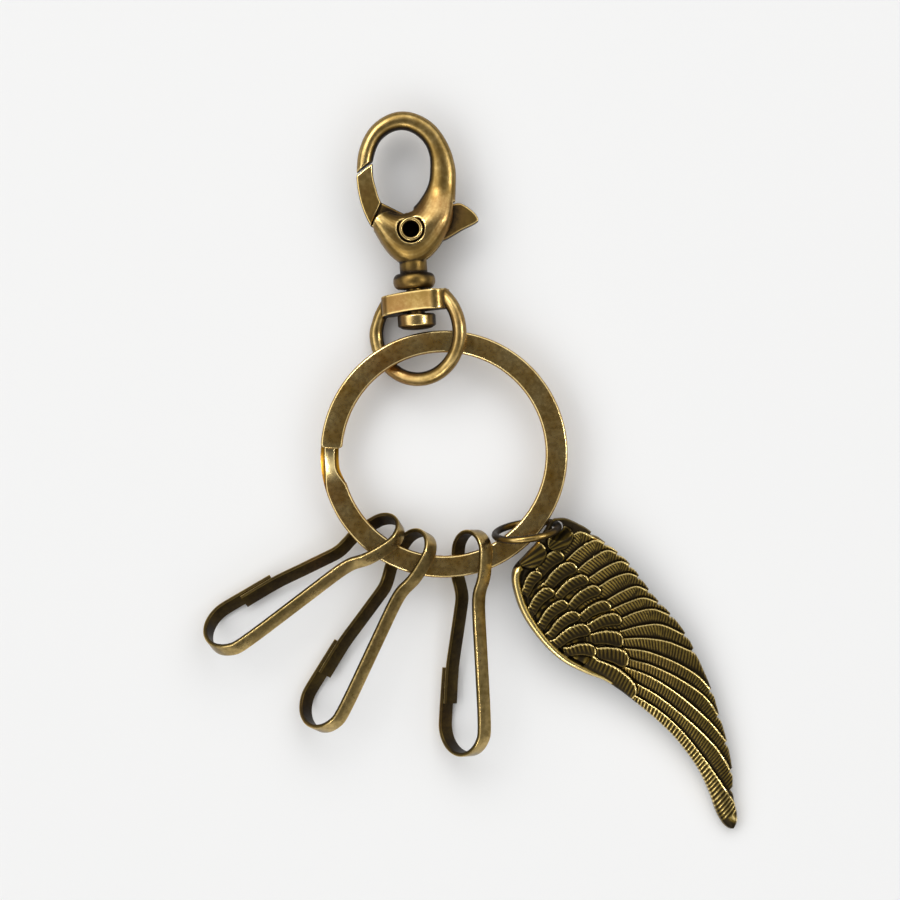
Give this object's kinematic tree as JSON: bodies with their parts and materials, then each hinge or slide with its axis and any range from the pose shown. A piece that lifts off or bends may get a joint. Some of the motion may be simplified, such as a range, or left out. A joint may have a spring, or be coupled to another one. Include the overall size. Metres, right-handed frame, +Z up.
{
  "type": "key holder",
  "caption": "Key holder of antique brass with a swivel snap hook, a flat split ring, sprung strip clips for keys and a wing charm on a jump ring.",
  "frame": {"origin": "centre of the bounding box's bottom face, on the table that the key holder lies on", "axes": "+X to the right and +Y towards the hook's nose as the key holder lies on a table, +Z up out of the table"},
  "size_m": [0.0752, 0.102, 0.0098],
  "materials": {
    "hook_body": "antique brass, dark in the recesses and rubbed bright along the edges",
    "gate_lever": "antique brass, dark in the recesses and rubbed bright along the edges",
    "gate_spring": "dark brass wire",
    "gate_rivet": "antique brass, dark in the recesses and rubbed bright along the edges",
    "swivel_pin": "antique brass, dark in the recesses and rubbed bright along the edges",
    "swivel_eye": "antique brass, dark in the recesses and rubbed bright along the edges",
    "split_ring": "antique brass, dark in the recesses and rubbed bright along the edges",
    "clip_1_frame": "antique brass, dark in the recesses and rubbed bright along the edges",
    "clip_1_tongue": "antique brass, dark in the recesses and rubbed bright along the edges",
    "clip_2_frame": "antique brass, dark in the recesses and rubbed bright along the edges",
    "clip_2_tongue": "antique brass, dark in the recesses and rubbed bright along the edges",
    "clip_3_frame": "antique brass, dark in the recesses and rubbed bright along the edges",
    "clip_3_tongue": "antique brass, dark in the recesses and rubbed bright along the edges",
    "jump_ring": "antique brass, dark in the recesses and rubbed bright along the edges",
    "wing_charm": "antique brass cast in relief, its recesses dark and its ridges rubbed bright"
  },
  "bodies": {
    "split_ring": {"split_ring": "split_ring"},
    "swivel_eye": {"swivel_eye": "swivel_eye"},
    "hook": {"hook_body": "hook_body", "gate_rivet": "gate_rivet", "gate_spring": "gate_spring", "swivel_pin": "swivel_pin"},
    "gate": {"gate_lever": "gate_lever"},
    "clip_1": {"clip_1_frame": "clip_1_frame"},
    "clip_1_tongue": {"clip_1_tongue": "clip_1_tongue"},
    "clip_2": {"clip_2_frame": "clip_2_frame"},
    "clip_2_tongue": {"clip_2_tongue": "clip_2_tongue"},
    "clip_3": {"clip_3_frame": "clip_3_frame"},
    "clip_3_tongue": {"clip_3_tongue": "clip_3_tongue"},
    "jump_ring": {"jump_ring": "jump_ring"},
    "wing_charm": {"wing_charm": "wing_charm"}
  },
  "joints": [
    {"name": "ring_swing", "type": "hinge", "parent": "split_ring", "child": "swivel_eye", "pos_m": [-0.00702, 0.01803, 0.00397], "axis": [0, 0, 1], "range_deg": [-4, 20]},
    {"name": "swivel", "type": "hinge", "parent": "swivel_eye", "child": "hook", "pos_m": [-0.0074, 0.02401, 0.00397], "axis": [-0.0628, 0.998, 0], "continuous": true},
    {"name": "gate_hinge", "type": "hinge", "parent": "hook", "child": "gate", "pos_m": [-0.00804, 0.03417, 0.00397], "axis": [0, 0, -1], "range_deg": [0, 24], "stiffness_Nm_per_rad": 0.02},
    {"name": "clip_1_swing", "type": "hinge", "parent": "split_ring", "child": "clip_1", "pos_m": [-0.01358, -0.00976, 0.00397], "axis": [0, 0, 1], "range_deg": [-4, 8]},
    {"name": "clip_1_tongue_flex", "type": "hinge", "parent": "clip_1", "child": "clip_1_tongue", "pos_m": [-0.01917, -0.01186, 0.00272], "axis": [-0.3856, 0.6215, 0.682], "range_deg": [0, 8], "stiffness_Nm_per_rad": 0.03},
    {"name": "clip_2_swing", "type": "hinge", "parent": "split_ring", "child": "clip_2", "pos_m": [-0.00828, -0.01268, 0.00397], "axis": [0, 0, 1], "range_deg": [-8, 8]},
    {"name": "clip_2_tongue_flex", "type": "hinge", "parent": "clip_2", "child": "clip_2_tongue", "pos_m": [-0.01225, -0.01713, 0.00272], "axis": [-0.6301, 0.3713, 0.682], "range_deg": [0, 8], "stiffness_Nm_per_rad": 0.03},
    {"name": "clip_3_swing", "type": "hinge", "parent": "split_ring", "child": "clip_3", "pos_m": [0.00051, -0.01297, 0.00397], "axis": [0, 0, 1], "range_deg": [-6, 8]},
    {"name": "clip_3_tongue_flex", "type": "hinge", "parent": "clip_3", "child": "clip_3_tongue", "pos_m": [-0.00089, -0.01877, 0.00272], "axis": [-0.7308, 0.0294, 0.682], "range_deg": [0, 8], "stiffness_Nm_per_rad": 0.03},
    {"name": "jump_ring_swing", "type": "hinge", "parent": "split_ring", "child": "jump_ring", "pos_m": [0.00831, -0.00836, 0.00397], "axis": [0, 0, 1], "range_deg": [-6, 2]},
    {"name": "wing_swing", "type": "hinge", "parent": "jump_ring", "child": "wing_charm", "pos_m": [0.01277, -0.00773, 0.00497], "axis": [0, 0, 1], "range_deg": [-4, 12]}
  ]
}
